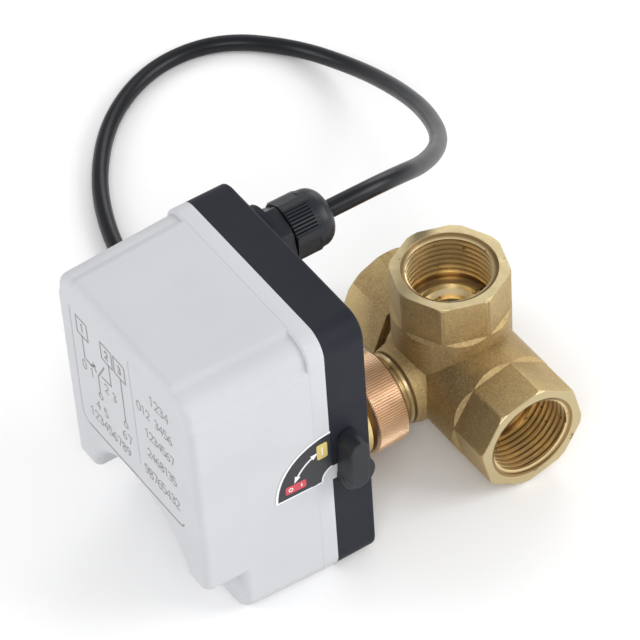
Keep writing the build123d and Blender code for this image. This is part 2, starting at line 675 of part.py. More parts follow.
def seat_ring(rot):
    """Seat about the port axis that rot turns +Z to."""
    s = Pos(0, 0, (SEAT_NEAR + SEAT_FAR) / 2) * Cylinder(SEAT_OUT, SEAT_FAR - SEAT_NEAR)
    s -= Cylinder(SEAT_IN, 60)
    s -= Sphere(BALL_R + 0.03)
    return at_valve(s, rot)


def seat_retainer():
    s = Pos(0, 0, (13.0 + RETAINER_OUT) / 2) * Cylinder(CAVITY_R - 0.05, RETAINER_OUT - 13.0)
    s -= Cylinder(SEAT_OUT + 0.05, 2 * SEAT_FAR)
    s -= Cylinder(SEAT_IN, 60)
    s -= Sphere(BALL_R + 0.6)
    for k in range(4):
        a = math.radians(45 + 90 * k)
        s -= Pos(11.5 * math.cos(a), 11.5 * math.sin(a), RETAINER_OUT) * Cylinder(1.5, 4)
    return at_valve(s, TO_FAR)


def ball():
    b = Sphere(BALL_R)
    b -= Pos(0, 0, 12) * Cylinder(BALL_BORE, 24)
    b -= Rot(90, 0, 0) * Pos(0, 0, 12) * Cylinder(BALL_BORE, 24)
    b -= Sphere(BALL_BORE + 0.4)
    b -= Pos(-13, 0, 0) * Box(6.0, 13.0, 5.0)
    return at_valve(b)


def stem():
    ball_face = VALVE_X - 14.8
    s = xcyl(STEM_R, 43.0, ball_face)
    s += xcyl(8.5, VALVE_X - 16.6, ball_face)
    s += block(31.0, 43.1, -4.0, 4.0, AXIS_Z - 4.0, AXIS_Z + 4.0)
    s += block(ball_face - 0.1, VALVE_X - 10.3, -6.2, 6.2, AXIS_Z - 2.4, AXIS_Z + 2.4)
    for x in (46.5, 50.5):
        s -= xcyl(8, x, x + 2.2) - xcyl(5.0, x - 1, x + 4)
    return s


def stem_rings():
    out = []
    for x in (46.5, 50.5):
        out.append(xcyl(STEM_R - 0.02, x + 0.1, x + 2.1) - xcyl(5.05, x - 1, x + 4))
    return out


def thrust_washer():
    return xcyl(8.5, VALVE_X - 17.45, VALVE_X - 16.65) - xcyl(STEM_R + 0.1, 50, 70)


# ---------------------------------------------------------------- cable gland and cord
def gland_body():
    face = Plane.YZ.offset(GLAND_X0) * Pos(GLAND_Y, GLAND_Z, 0)
    face = face * RegularPolygon(GLAND_HEX / 2, 6, major_radius=False, rotation=20)
    g = extrude(face, GLAND_X1 - 0.4 - GLAND_X0)
    g &= turned([(GLAND_X0, 0), (GLAND_X1 - 0.4, 0), (GLAND_X1 - 0.4, 10.2),
                 (GLAND_X1 - 1.2, 11.4), (GLAND_X0 + 0.6, 11.4), (GLAND_X0, 10.6)],
                0, GLAND_Y, GLAND_Z)
    g += xcyl(7.6, 9.0, GLAND_X0 + 1, GLAND_Y, GLAND_Z)
    g += xcyl(7.4, GLAND_X1 - 1, GLAND_X1 + 7.0, GLAND_Y, GLAND_Z)
    g -= xcyl(CORD_R + 0.6, 0, 50, GLAND_Y, GLAND_Z)
    g -= xcyl(5.4, GLAND_X1 - 2.0, 50, GLAND_Y, GLAND_Z)
    return g


def gland_locknut():
    face = Plane.YZ.offset(9.4) * Pos(GLAND_Y, GLAND_Z, 0)
    n = extrude(face * RegularPolygon(8.8, 6, major_radius=False, rotation=20), 3.3)
    return n - xcyl(7.6, 0, 20, GLAND_Y, GLAND_Z)


def gland_seal():
    s = turned([(GLAND_X1 - 1.9, CORD_R + RUN), (GLAND_X1 + 9.6, CORD_R + RUN), (GLAND_X1 + 9.6, 4.3),
                (GLAND_X1 + 7.0, 5.3), (GLAND_X1 - 1.9, 5.3)], 0, GLAND_Y, GLAND_Z)
    return s


def gland_nut():
    pts = []
    flat = 10.35
    for k in range(6):
        a0 = math.radians(60 * k + 35)
        if k % 2 == 0:
            for j in range(5):
                a = a0 + math.radians(60) * j / 4
                c = math.cos(a - a0 - math.radians(30))
                pts.append((min(flat / c, 11.2), a))
        else:
            for j in range(1, 36):
                a = a0 + math.radians(60) * j / 36
                pts.append((10.2 if j % 4 == 0 else 10.8, a))
    outline = [(r * math.cos(a), r * math.sin(a)) for r, a in pts]
    x0, x2 = GLAND_X1, GLAND_X2
    face = Plane.YZ.offset(x0) * Pos(GLAND_Y, GLAND_Z, 0) * make_face(Polyline(*outline, close=True))
    n = extrude(face, 11.2)
    n &= turned([(x0, 0), (x0 + 11.2, 0), (x0 + 11.2, 10.0), (x0 + 9.6, 11.4),
                 (x0 + 0.6, 11.4), (x0, 10.7)], 0, GLAND_Y, GLAND_Z)
    dome = [(x0 + 9.0, 0), (x2, 0), (x2, 5.0)]
    for k in range(1, 9):
        t = math.radians(90 - 90 * k / 9)
        dome.append((x0 + 11.6 + (x2 - x0 - 11.6) * math.sin(t), 5.0 + 5.6 * math.cos(t)))
    dome += [(x0 + 11.6, 10.6), (x0 + 9.0, 10.6)]
    n += turned(dome, 0, GLAND_Y, GLAND_Z)
    n -= xcyl(7.5, x0 - 1, x0 + 8.0, GLAND_Y, GLAND_Z)
    n -= turned([(x0 + 7.9, 0), (x0 + 7.9, 7.5), (x0 + 10.4, 4.6), (x0 + 10.4, 0)],
                0, GLAND_Y, GLAND_Z)
    n -= xcyl(CORD_R + 0.4, x0, x2 + 1, GLAND_Y, GLAND_Z)
    return n


CORD_ROUTE = [
    (9, 20, GLAND_Z), (40, 20, GLAND_Z), (70, 20.6, 98.4), (95.5, 37.5, 78), (120.5, 65, 55),
    (136, 99, 36), (142.5, 131, 21.5), (143.5, 162, 9), (135, 190, CORD_R), (114, 211, CORD_R),
    (85, 214.5, CORD_R), (56, 200, CORD_R), (33.5, 173, CORD_R), (20.5, 143, CORD_R),
    (15.5, 114.5, CORD_R), (14, 87, CORD_R), (26, 63.5, CORD_R), (49, 51.2, CORD_R), (72, 51, CORD_R),
]
CORE_R = 0.98
CORE_OUT = 1.3        # cores' centres from the cord's


def route_radii(points):
    """Bend radius at each corner: 0.45 of the shorter run over the tangent of half the turn."""
    out = []
    for a, b, c in zip(points, points[1:], points[2:]):
        first = Vector(*b) - Vector(*a)
        second = Vector(*c) - Vector(*b)
        half = math.radians(first.get_angle(second)) / 2
        out.append(0.45 * min(first.length, second.length) / math.tan(half))
    return out


def tube(points, r, radii=None):
    radii = radii or route_radii(points)
    path = FilletPolyline(*points, radius=radii)
    start = Plane(origin=path @ 0, z_dir=path % 0)
    return sweep(start * Circle(r), path=path), path.length


def cord():
    shape, length = tube(CORD_ROUTE, CORD_R)
    print("cord length", round(length, 1), "radii", [round(r, 1) for r in route_radii(CORD_ROUTE)])
    print("volume over section x length", shape.volume / (math.pi * CORD_R ** 2 * length))
    return shape


def core(k):
    """One of the three cores: its stretch inside the actuator and its free end."""
    a = math.radians(90 + 120 * k)
    u, v = CORE_OUT * math.cos(a), CORE_OUT * math.sin(a)
    y, z = CORD_ROUTE[0][1] + u, CORD_ROUTE[0][2] + v
    ty = TERMINAL_Y[(1, 0, 2)[k]]
    inside = [(9, y, z), (2.0 + 0.35 * u - 0.25 * v, y, z), (-9, 29.0 + 0.5 * (ty - TERMINAL_Y[0]), 93.0 + 1.5 * v),
              (TERMINAL_X, ty, 72.0), (TERMINAL_X, ty, 57.0)]
    bends = [min(4.0, r) for r in route_radii(inside)]
    first, _ = tube(inside, CORE_R, bends)
    end = Vector(*CORD_ROUTE[-1])
    way = (end - Vector(*CORD_ROUTE[-2])).normalized()
    side = way.cross(Vector(0, 0, 1))
    fan = (0.0, 1.0, -1.0)[k]
    start = end + side * u * -1 + Vector(0, 0, v)
    p1 = start + way * 4
    p2 = end + way * 13 + side * fan * 3.5 + Vector(0, 0, CORE_R + 0.1 - end.Z)
    p3 = end + way * 22 + side * fan * 5.5 + Vector(0, 0, CORE_R + 0.1 - end.Z)
    points = [tuple(p) for p in (start, p1, p2, p3)]
    second, _ = tube(points, CORE_R, [min(5.0, r) for r in route_radii(points)])
    ferrule = Plane(origin=p3, z_dir=(p3 - p2).normalized()) * Pos(0, 0, 3.5) * Cylinder(0.75, 7.0)
    return first, second, ferrule


# ---------------------------------------------------------------- the nodes
CORES = [core(k) for k in range(3)]
NODES = {
    "cover": cover,
    "base": base,
    "cover_gasket": gasket,
    "cover_screws": cover_screws,
    "legend_plate": legend_plate,
    "gear_plate": gear_plate,
    "gear_plate_screws": plate_screws,
    "gear_axles": lambda: [axle(C_G1), axle(C_G2)],
    "motor": motor,
    "motor_screws": motor_screws,
    "motor_pinion": motor_pinion,
    "gear_one": gear_one,
    "gear_two": gear_two,
    "output_gear": output_gear,
    "output_shaft": output_shaft,
    "shaft_clip": shaft_clip,
    "cam_inner": lambda: cam(-7.6, -4.4, 20),
    "cam_outer": lambda: cam(-14.4, -11.2, -70),
    "switch_inner": lambda: switch_body(-9.1),
    "switch_outer": lambda: switch_body(-15.8),
    "switch_lever_inner": lambda: switch_lever(-9.1),
    "switch_lever_outer": lambda: switch_lever(-15.8),
    "switch_screws": switch_screws,
    "circuit_board": circuit_board,
    "board_posts": board_posts,
    "capacitor": capacitor,
    "relay": relay,
    "terminal_block": terminal_block,
    "terminal_screws": terminal_screws,
    "terminal_posts": terminal_posts,
    "lever": lever,
    "lever_clip": lever_clip,
    "lever_cam": lever_cam,
    "lever_seal": lever_seal,
    "neck_sleeve": sleeve,
    "neck_screws": sleeve_screws,
    "stop_ring": stop_ring,
    "union_nut": union_nut,
    "valve_body": valve_body,
    "seat_near": lambda: seat_ring(TO_NEAR),
    "seat_far": lambda: seat_ring(TO_FAR),
    "seat_up": lambda: seat_ring((0, 0, 0)),
    "seat_retainer": seat_retainer,
    "ball": ball,
    "stem": stem,
    "stem_rings": stem_rings,
    "thrust_washer": thrust_washer,
    "gland_body": gland_body,
    "gland_locknut": gland_locknut,
    "gland_seal": gland_seal,
    "gland_nut": gland_nut,
    "cord": cord,
    "core_brown": lambda: CORES[0][:2],
    "core_blue": lambda: CORES[1][:2],
    "core_earth": lambda: CORES[2][:2],
    "ferrules": lambda: [c[2] for c in CORES],
}


def main():
    os.makedirs("parts", exist_ok=True)
    for name, make in NODES.items():
        shape = make()
        pieces = list(shape) if isinstance(shape, (list, tuple)) else [shape]
        solids = [s for piece in pieces for s in piece.solids()]
        whole = Compound(children=[Pos(SHIFT_X, SHIFT_Y, 0) * s for s in solids])
        whole.label = name
        export_step(whole, f"parts/{name}.step")


main()
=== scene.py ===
"""Motorised three-way zone valve: looks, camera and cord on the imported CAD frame."""
import json
import math

import bmesh
import bpy
from mathutils import Euler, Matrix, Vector


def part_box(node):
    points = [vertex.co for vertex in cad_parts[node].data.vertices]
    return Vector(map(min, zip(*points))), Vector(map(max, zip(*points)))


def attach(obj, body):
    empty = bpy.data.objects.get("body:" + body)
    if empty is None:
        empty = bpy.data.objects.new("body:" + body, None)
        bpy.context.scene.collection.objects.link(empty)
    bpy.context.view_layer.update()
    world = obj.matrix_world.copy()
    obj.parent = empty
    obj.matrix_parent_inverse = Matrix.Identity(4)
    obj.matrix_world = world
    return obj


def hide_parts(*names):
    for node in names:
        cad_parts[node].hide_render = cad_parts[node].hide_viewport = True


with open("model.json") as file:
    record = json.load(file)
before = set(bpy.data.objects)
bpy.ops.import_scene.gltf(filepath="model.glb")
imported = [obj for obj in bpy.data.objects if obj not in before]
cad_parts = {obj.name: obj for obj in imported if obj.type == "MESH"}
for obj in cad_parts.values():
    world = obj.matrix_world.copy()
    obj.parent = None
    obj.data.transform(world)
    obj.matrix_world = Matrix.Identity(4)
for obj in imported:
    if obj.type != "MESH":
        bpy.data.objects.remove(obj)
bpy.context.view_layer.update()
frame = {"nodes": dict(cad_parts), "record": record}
MM = 0.001
MOUNTS = {m["name"]: m for m in frame["record"]["mounts"]}

# ---------------------------------------------------------------- places read from the frame
COVER_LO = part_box("cover")[0]
BASE_LO, BASE_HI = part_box("base")
JOINT_X = BASE_LO.x                      # where cover and base meet
MID_Y = (BASE_LO.y + BASE_HI.y) / 2
BRANCH = Vector(MOUNTS["port_branch"]["pos_m"])
NEAR = Vector(MOUNTS["port_near"]["pos_m"])
FAR = Vector(MOUNTS["port_far"]["pos_m"])
VALVE = Vector((BRANCH.x, MID_Y, NEAR.z))


def at(x, y, z):
    """A point given in mm from the joint plane, the stem's plane and the surface."""
    return Vector((JOINT_X + x * MM, MID_Y + y * MM, z * MM))


# ---------------------------------------------------------------- camera
SENSOR = 36.0                                 # mm
LENS = 204.47                                 # mm
CAMERA_PLACE = (-413.58, -740.04, 953.48)     # mm, as at() takes it
CAMERA_TURN = (44.26, 2.923, -33.652)         # degrees
CAMERA_REACH = 10.0                           # m

camera_data = bpy.data.cameras.new("camera")
camera = bpy.data.objects.new("camera", camera_data)
bpy.context.scene.collection.objects.link(camera)
bpy.context.scene.camera = camera
camera_data.sensor_width = SENSOR
camera_data.lens = LENS
camera_data.clip_end = CAMERA_REACH
camera.location = at(*CAMERA_PLACE)
camera.rotation_euler = Euler([math.radians(a) for a in CAMERA_TURN])

# ---------------------------------------------------------------- cord
CORD_POINTS = [
    (9, 20, 99.1), (40, 20, 99.1), (70, 20.6, 98.4), (95.5, 37.5, 78), (120.5, 65, 55),
    (136, 99, 36), (142.5, 131, 21.5), (143.5, 162, 9), (135, 190, 3.3), (114, 211, 3.3),
    (85, 214.5, 3.3), (56, 200, 3.3), (33.5, 173, 3.3), (20.5, 143, 3.3),
    (15.5, 114.5, 3.3), (14, 87, 3.3), (26, 63.5, 3.3), (49, 51.2, 3.3), (72, 51, 3.3),
]
CORD_D = 6.6 * MM


def cord():
    curve = bpy.data.curves.new("cord_sheath", "CURVE")
    curve.dimensions = "3D"
    spline = curve.splines.new("NURBS")
    spline.points.add(len(CORD_POINTS) - 1)
    for point, place in zip(spline.points, CORD_POINTS):
        point.co = (*at(*place), 1.0)
        point.radius = CORD_D / 2      # the bevel is 1 m, so that the curve's own box is the cord's
    spline.order_u = 3
    spline.use_endpoint_u = True
    spline.resolution_u = 14
    curve.bevel_depth = 1.0
    curve.bevel_resolution = 7
    curve.use_fill_caps = True
    piece = bpy.data.objects.new("cord_sheath", curve)
    bpy.context.scene.collection.objects.link(piece)
    return piece


# ---------------------------------------------------------------- node helpers
SHARP = (0.52, 0.6)                           # pointiness of a flat face's rim, and of a sharp edge


class Look:
    """A procedural material whose texture space is the frame, in metres."""

    def __init__(self, name, color, rough, metal=0.0, spec=0.5):
        self.mat = bpy.data.materials.new(name)
        self.mat.use_nodes = True
        self.tree = self.mat.node_tree
        self.shader = self.tree.nodes["Principled BSDF"]
        self.shader.inputs["Base Color"].default_value = (*color, 1)
        self.shader.inputs["Roughness"].default_value = rough
        self.shader.inputs["Metallic"].default_value = metal
        self.shader.inputs["Specular IOR Level"].default_value = spec
        self.color = self.rough = self.height = None
        self.base = color
        self.base_rough = rough
        self.place = self.node("ShaderNodeTexCoord").outputs["Object"]

    def node(self, kind, **values):
        made = self.tree.nodes.new(kind)
        for key, value in values.items():
            setattr(made, key, value)
        return made

    def link(self, a, b):
        self.tree.links.new(a, b)

    def put(self, socket, value):
        if isinstance(value, (int, float)):
            socket.default_value = value
        elif isinstance(value, tuple):
            socket.default_value = (*value, 1)
        else:
            self.link(value, socket)

    def math(self, kind, a, b):
        made = self.node("ShaderNodeMath", operation=kind)
        for socket, value in zip(made.inputs, (a, b)):
            self.put(socket, value)
        return made.outputs[0]

    def mix(self, factor, a, b):
        made = self.node("ShaderNodeMix", data_type="RGBA")
        self.put(made.inputs[0], factor)
        self.put(made.inputs[6], a)
        self.put(made.inputs[7], b)
        return made.outputs[2]

    def ramp(self, value, low, high, out_low=0.0, out_high=1.0):
        made = self.node("ShaderNodeMapRange")
        for socket, number in zip(made.inputs, (value, low, high, out_low, out_high)):
            self.put(socket, number)
        return made.outputs[0]

    def noise(self, size, detail=3.0, stretch=None, rough=0.55, where=None):
        """Noise with features about size metres across."""
        where = where or self.place
        if stretch:
            mapping = self.node("ShaderNodeMapping")
            mapping.inputs["Scale"].default_value = stretch
            self.link(where, mapping.inputs["Vector"])
            where = mapping.outputs[0]
        made = self.node("ShaderNodeTexNoise")
        self.link(where, made.inputs["Vector"])
        made.inputs["Scale"].default_value = 1 / size
        made.inputs["Detail"].default_value = detail
        made.inputs["Roughness"].default_value = rough
        return made.outputs["Fac"]

    def edges(self):
        """1 on sharp outer edges."""
        return self.ramp(self.node("ShaderNodeNewGeometry").outputs["Pointiness"], *SHARP)

    def tint(self, factor, color):
        self.color = self.mix(factor, self.color or self.base, color)
        return self

    def polish(self, factor, value):
        self.rough = self.ramp(factor, 0, 1, self.rough or self.base_rough, value)
        return self

    def bump(self, height, depth, strength=1.0):
        made = self.node("ShaderNodeBump")
        made.inputs["Distance"].default_value = depth
        made.inputs["Strength"].default_value = strength
        self.link(height, made.inputs["Height"])
        if self.height:
            self.link(self.height, made.inputs["Normal"])
        self.height = made.outputs[0]
        return self

    def done(self):
        if self.color is not None:
            self.link(self.color, self.shader.inputs["Base Color"])
        if self.rough is not None:
            self.link(self.rough, self.shader.inputs["Roughness"])
        if self.height is not None:
            self.link(self.height, self.shader.inputs["Normal"])
        return self.mat


def radius_about(look, centre, axis):
    """Distance from an axis line and position along it, as node sockets, in metres."""
    off = look.node("ShaderNodeVectorMath", operation="SUBTRACT")
    look.link(look.place, off.inputs[0])
    off.inputs[1].default_value = centre
    dot = look.node("ShaderNodeVectorMath", operation="DOT_PRODUCT")
    look.link(off.outputs[0], dot.inputs[0])
    dot.inputs[1].default_value = axis
    cross = look.node("ShaderNodeVectorMath", operation="CROSS_PRODUCT")
    look.link(off.outputs[0], cross.inputs[0])
    cross.inputs[1].default_value = axis
    length = look.node("ShaderNodeVectorMath", operation="LENGTH")
    look.link(cross.outputs[0], length.inputs[0])
    return length.outputs["Value"], dot.outputs["Value"]


# ---------------------------------------------------------------- materials
def moulded(name, color, rough, grain=0.00035, depth=0.000012, spec=0.5, mottle=0.06):
    """Fine spark-eroded plastic with faint mottling and dust, and paler sharp edges that are a painted
    highlight.
    """
    look = Look(name, color, rough, spec=spec)
    pale = tuple(min(1, c * (1 + 2 * mottle) + 0.008) for c in color)
    dark = tuple(c * (1 - 2 * mottle) for c in color)
    cloud = look.noise(0.03, 4)
    look.tint(look.ramp(cloud, 0.35, 0.7), dark)
    # paler on sharp outer edges: a painted edge highlight
    look.tint(look.math("MULTIPLY", look.edges(), 0.5), pale)
    speck = look.noise(0.0016, 2)
    look.tint(look.ramp(speck, 0.72, 0.8, 0, 0.25), pale)
    look.polish(look.ramp(look.noise(0.012, 3), 0.3, 0.75), min(1, rough * 1.25))
    look.bump(look.noise(grain, 2), depth)
    look.bump(look.noise(0.02, 2), 0.00006, 0.4)
    return look.done()


# Masks on the valve body, in metres: each pair is where the mask is 0 and where it is 1.
# Along runs out of a port from its mount; the collar's runs from the stem's plane.
MOUTH_ALONG = (0.0009, 0.00105)
BORE_RADIUS = (0.0172, 0.017)
BORE_ALONG = (-0.045, -0.044)
# radius band of the thread roots, where painted shade goes
ROOT_SHADE_RADIUS = (0.0153, 0.0162)
COLLAR_ALONG = (-0.0250, -0.0254)
COLLAR_RADIUS = (0.0165, 0.016)


def either(look, one, two):
    """The larger of two masks, of which the first may be missing."""
    return two if one is None else look.math("MAXIMUM", one, two)


def cast_brass():
    """Grainy forged skin, with machined mouths, threads and bores told apart by place; painted highlight
    on sharp edges and in the bores, painted shade in the thread roots.
    """
    look = Look("valve_brass", (0.45, 0.325, 0.15), 0.5, metal=0.86)
    cloud = look.noise(0.012, 5)
    look.tint(look.ramp(cloud, 0.35, 0.72), (0.33, 0.232, 0.107))
    fine = look.noise(0.0009, 4, rough=0.7)
    look.tint(look.ramp(fine, 0.52, 0.72, 0, 0.75), (0.60, 0.46, 0.24))
    look.tint(look.ramp(fine, 0.28, 0.46, 0.7, 0), (0.17, 0.115, 0.05))
    # brighter on sharp edges: a painted edge highlight
    look.tint(look.math("MULTIPLY", look.edges(), 0.7), (0.75, 0.58, 0.30))
    machined = painted_bore_highlight = painted_root_shade = None
    for port, axis in ((BRANCH, (0, 0, 1)), (NEAR, (0, -1, 0)), (FAR, (0, 1, 0))):
        radius, along = radius_about(look, port, axis)
        mouth = look.ramp(along, *MOUTH_ALONG)
        inside = look.math("MULTIPLY", look.ramp(radius, *BORE_RADIUS), look.ramp(along, *BORE_ALONG))
        machined = either(look, machined, look.math("MAXIMUM", mouth, inside))
        painted_bore_highlight = either(look, painted_bore_highlight, inside)
        painted_root_shade = either(look, painted_root_shade, look.math("MULTIPLY", inside, look.ramp(radius, *ROOT_SHADE_RADIUS)))
    radius, along = radius_about(look, VALVE, (1, 0, 0))
    collar = look.math("MULTIPLY", look.ramp(along, *COLLAR_ALONG), look.ramp(radius, *COLLAR_RADIUS))
    machined = either(look, machined, collar)
    look.tint(machined, (0.56, 0.46, 0.26))
    # bores brighter than the machined mouths: a painted highlight on the threads
    look.tint(painted_bore_highlight, (0.84, 0.67, 0.37))
    # darker in the thread roots: painted shade in the grooves
    look.tint(painted_root_shade, (0.30, 0.19, 0.08))
    nick = look.noise(0.0045, 3)
    look.tint(look.math("MULTIPLY", machined, look.ramp(nick, 0.66, 0.70)), (0.30, 0.21, 0.10))
    look.rough = look.ramp(machined, 0, 1, look.ramp(fine, 0.3, 0.7, 0.46, 0.6), 0.29)
    grain = look.math("MULTIPLY", fine, look.ramp(machined, 0, 1, 1, 0.06))
    look.bump(grain, 0.00022)
    look.bump(look.noise(0.006, 3), 0.00025, 0.5)
    return look.done()


def turned(name, color, rough, centre, axis):
    """Metal with fine rings left by turning about an axis."""
    look = Look(name, color, rough, metal=1.0)
    radius, along = radius_about(look, centre, axis)
    both = look.node("ShaderNodeCombineXYZ")
    look.put(both.inputs[0], radius)
    look.put(both.inputs[1], along)
    rings = look.noise(0.00012, 2, where=both.outputs[0])
    look.tint(look.ramp(look.noise(0.008, 4), 0.35, 0.75, 0, 0.7), tuple(c * 0.72 for c in color))
    # brighter on sharp edges: a painted edge highlight
    look.tint(look.math("MULTIPLY", look.edges(), 0.5), tuple(min(1, c * 1.3) for c in color))
    look.polish(look.ramp(look.noise(0.003, 3), 0.35, 0.7), rough * 1.6)
    look.bump(rings, 0.000012)
    return look.done()


def plain_metal(name, color, rough):
    look = Look(name, color, rough, metal=1.0)
    look.tint(look.ramp(look.noise(0.004, 4), 0.35, 0.7), tuple(c * 0.75 for c in color))
    look.polish(look.ramp(look.noise(0.0015, 3), 0.3, 0.7), rough * 1.5)
    look.bump(look.noise(0.0003, 2, stretch=(1, 1, 6)), 0.000015)
    return look.done()


def printed(name, color, rough=0.35):
    look = Look(name, color, rough)
    look.tint(look.ramp(look.noise(0.0012, 3), 0.5, 0.8, 0, 0.3), tuple(c * 0.8 + 0.01 for c in color))
    look.bump(look.noise(0.0004, 2), 0.000006)
    return look.done()


LOOKS = {
    "shell_grey": moulded("shell_grey", (0.525, 0.533, 0.557), 0.46, grain=0.0005, depth=0.000014,
                          mottle=0.02, spec=0.4),
    "shell_black": moulded("shell_black", (0.012, 0.014, 0.021), 0.5, grain=0.0005, depth=0.00002,
                           spec=0.18),
    "lever_black": moulded("lever_black", (0.014, 0.0155, 0.020), 0.42, grain=0.0004, spec=0.35),
    "gland_black": moulded("gland_black", (0.012, 0.0135, 0.018), 0.36, grain=0.0006, spec=0.36),
    "cord_black": moulded("cord_black", (0.006, 0.0068, 0.010), 0.3, grain=0.0005, spec=0.28),
    "seal_rubber": moulded("seal_rubber", (0.02, 0.02, 0.02), 0.7),
    "legend_black": printed("legend_black", (0.016, 0.017, 0.021), 0.4),
    "cast_brass": cast_brass(),
    "bright_brass": turned("bright_brass", (0.80, 0.62, 0.30), 0.24, VALVE, (1, 0, 0)),
    "copper_nut": turned("copper_nut", (0.66, 0.46, 0.30), 0.28, VALVE, (1, 0, 0)),
    "gear_brass": plain_metal("gear_brass", (0.78, 0.6, 0.28), 0.3),
    "gear_white": moulded("gear_white", (0.8, 0.78, 0.72), 0.45),
    "zinc_screw": plain_metal("zinc_screw", (0.6, 0.6, 0.57), 0.35),
    "steel_plate": plain_metal("steel_plate", (0.55, 0.55, 0.56), 0.38),
    "motor_steel": plain_metal("motor_steel", (0.5, 0.5, 0.5), 0.42),
    "shaft_steel": plain_metal("shaft_steel", (0.6, 0.6, 0.62), 0.25),
    "cam_red": moulded("cam_red", (0.5, 0.05, 0.04), 0.45),
    "switch_black": moulded("switch_black", (0.03, 0.03, 0.03), 0.5),
    "board_green": printed("board_green", (0.03, 0.16, 0.07)),
    "capacitor_film": printed("capacitor_film", (0.05, 0.07, 0.12)),
    "terminal_green": moulded("terminal_green", (0.04, 0.3, 0.12), 0.45),
    "seat_ptfe": moulded("seat_ptfe", (0.85, 0.85, 0.83), 0.5),
    "ball_chrome": plain_metal("ball_chrome", (0.8, 0.8, 0.8), 0.08),
    "core_brown": moulded("core_brown", (0.16, 0.06, 0.03), 0.4),
    "core_blue": moulded("core_blue", (0.03, 0.1, 0.4), 0.4),
    "core_green": moulded("core_green", (0.1, 0.35, 0.06), 0.4),
    "ferrule_tin": plain_metal("ferrule_tin", (0.7, 0.7, 0.7), 0.3),
}
SLOTS = {s["node"]: s["material_slot"] for s in frame["record"]["subparts"]}


def finish_cad_nodes():
    for node, piece in frame["nodes"].items():
        piece.data.materials.clear()
        piece.data.materials.append(LOOKS[SLOTS[node]])


# ---------------------------------------------------------------- thin printed pieces
INK_THICK = 0.00006                           # m


def printed_piece(name, made, look):
    bmesh.ops.recalc_face_normals(made, faces=made.faces)
    mesh = bpy.data.meshes.new(name)
    made.to_mesh(mesh)
    made.free()
    piece = bpy.data.objects.new(name, mesh)
    bpy.context.scene.collection.objects.link(piece)
    mesh.materials.append(look)
    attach(piece, "housing")
    return piece


def film(name, outline, place, look):
    """Flat printed patch: an outline in (u, v) mm laid on a surface by place(u, v, lift)."""
    made = bmesh.new()
    low = [made.verts.new(place(u, v, 0.0)) for u, v in outline]
    high = [made.verts.new(place(u, v, INK_THICK)) for u, v in outline]
    made.faces.new(high)
    made.faces.new(low[::-1])
    for i in range(len(outline)):
        j = (i + 1) % len(outline)
        made.faces.new((low[i], low[j], high[j], high[i]))
    bmesh.ops.triangulate(made, faces=[f for f in made.faces if len(f.verts) > 4])
    return printed_piece(name, made, look)


def sides(points, width, closed):
    """Left and right border of a line along points, in (u, v) mm, mitred."""
    pts = [Vector(p) for p in points]
    left, right = [], []
    n = len(pts)
    for i, p in enumerate(pts):
        before = pts[(i - 1) % n] if closed or i else None
        after = pts[(i + 1) % n] if closed or i < n - 1 else None
        d0 = (p - before).normalized() if before is not None else (after - p).normalized()
        d1 = (after - p).normalized() if after is not None else d0
        mid = (d0 + d1).normalized()
        side = Vector((-mid.y, mid.x)) * (width / 2 / max(0.5, mid.dot(d0)))
        left.append(p + side)
        right.append(p - side)
    return left, right


def strokes(name, lines, place, look):
    """Printed lines as one piece; each is (points, width, closed)."""
    made = bmesh.new()
    for points, width, closed in lines:
        rows = []
        for border in sides(points, width, closed):
            for lift in (0.0, INK_THICK):
                rows.append([made.verts.new(place(p.x, p.y, lift)) for p in border])
        loop = (rows[0], rows[1], rows[3], rows[2])
        n = len(points)
        for i in range(n if closed else n - 1):
            j = (i + 1) % n
            for one, two in zip(loop, loop[1:] + loop[:1]):
                made.faces.new((one[i], one[j], two[j], two[i]))
        if not closed:
            made.faces.new([row[0] for row in loop])
            made.faces.new([row[-1] for row in loop][::-1])
    return printed_piece(name, made, look)


def arc(cu, cv, r, a0, a1, n=12):
    return [(cu + r * math.cos(math.radians(a0 + (a1 - a0) * i / n)),
             cv + r * math.sin(math.radians(a0 + (a1 - a0) * i / n))) for i in range(n + 1)]


def rounded(cu, cv, w, h, r):
    """Rounded rectangle outline about its centre."""
    out = []
    for sx, sy, a in ((1, 1, 0), (-1, 1, 90), (-1, -1, 180), (1, -1, 270)):
        out += arc(sx * (w / 2 - r), sy * (h / 2 - r), r, a, a + 90, 4)
    return [(cu + u, cv + v) for u, v in out]


def on_front(u, v, lift):
    """Cover's front face: u is across (mm from the middle), v is up."""
    return Vector((COVER_LO.x - lift, MID_Y + u * MM, v * MM))


DRAFT = 0.031                                 # how far the cover's sides lean in per mm
LIP = 6.5                                     # mm of upright side beside the joint


def on_side(u, v, lift):
    """Cover's lever-side face beside the legend: u runs along X from the joint, v is up."""
    inset = DRAFT * max(0.0, -u - LIP)
    return Vector((JOINT_X + u * MM, BASE_LO.y + inset * MM - lift, v * MM))


INK = printed("ink_grey", (0.25, 0.24, 0.25), 0.6)
GROOVE = printed("groove_grey", (0.24, 0.235, 0.235), 0.6)
FAINT = printed("faint_grey", (0.40, 0.40, 0.42), 0.6)
WHITE = printed("print_white", (0.8, 0.8, 0.82))
YELLOW = printed("print_yellow", (0.62, 0.50, 0.16))
RED = printed("print_red", (0.55, 0.05, 0.07))

